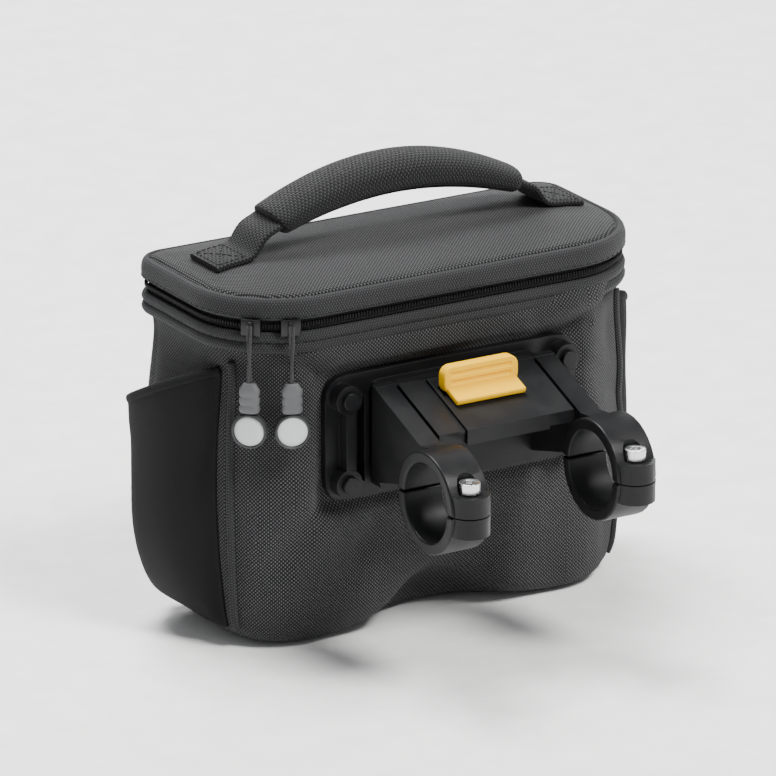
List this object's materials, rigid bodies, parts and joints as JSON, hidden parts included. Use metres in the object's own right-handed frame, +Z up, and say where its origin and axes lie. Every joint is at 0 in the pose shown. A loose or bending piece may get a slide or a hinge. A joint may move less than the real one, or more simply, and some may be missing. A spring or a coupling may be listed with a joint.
{
  "type": "bicycle handlebar bag",
  "caption": "Boxy padded cloth bag with a zipped domed lid, arched carrying handle and side pockets, held by a plastic bracket with two bar clamps and a sprung release lever.",
  "frame": {"origin": "middle of the flat base, on the surface it rests on", "axes": "+X across the bag, along the handlebar; +Y away from the handlebar, in the riding direction; +Z up"},
  "size_m": [0.2232, 0.1699, 0.1855],
  "materials": {
    "canvas": "coarse two-tone weave, dark grey",
    "binding": "fine ribbed tape, near black",
    "zip_tape": "coil zip, black",
    "stretch_cloth": "smooth stretch cloth, near black",
    "webbing": "ribbed webbing, dark grey",
    "cord": "thin braided cord, grey",
    "slider_metal": "black enamel",
    "grey_rubber": "matte, ribbed",
    "reflector": "silver grey disc",
    "black_plastic": "fine moulded texture, satin",
    "amber_plastic": "satin amber",
    "bolt_steel": "bright"
  },
  "bodies": {
    "bag": {"wrap_panel": "canvas", "side_panel_left": "canvas", "side_panel_right": "canvas", "lid_panel": "canvas", "corner_piping_left": "binding", "corner_piping_right": "binding", "rim_binding": "binding", "lid_band": "binding", "zip_track": "zip_tape", "side_pocket_left": "stretch_cloth", "side_pocket_right": "stretch_cloth", "handle_grip": "webbing", "handle_anchor_left": "webbing", "handle_anchor_right": "webbing", "zip_slider_front": "slider_metal", "zip_slider_rear": "slider_metal", "pull_cord_front": "cord", "pull_cord_rear": "cord", "pull_grip_front": "grey_rubber", "pull_grip_rear": "grey_rubber", "pull_disc_front": "reflector", "pull_disc_rear": "reflector", "receiver_plate": "black_plastic", "receiver_screw_1": "black_plastic", "receiver_screw_2": "black_plastic", "receiver_screw_3": "black_plastic", "receiver_screw_4": "black_plastic", "bracket_frame": "black_plastic", "clamp_base_left": "black_plastic", "clamp_base_right": "black_plastic", "clamp_bolt_left": "bolt_steel", "clamp_bolt_right": "bolt_steel"},
    "lever": {"release_lever": "amber_plastic"}
  },
  "joints": [
    {"name": "lever_tilt", "type": "hinge", "parent": "bag", "child": "lever", "pos_m": [0, -0.0625, 0.1084], "axis": [1, 0, 0], "range_deg": [-15, 0], "stiffness_Nm_per_rad": 0.2}
  ]
}
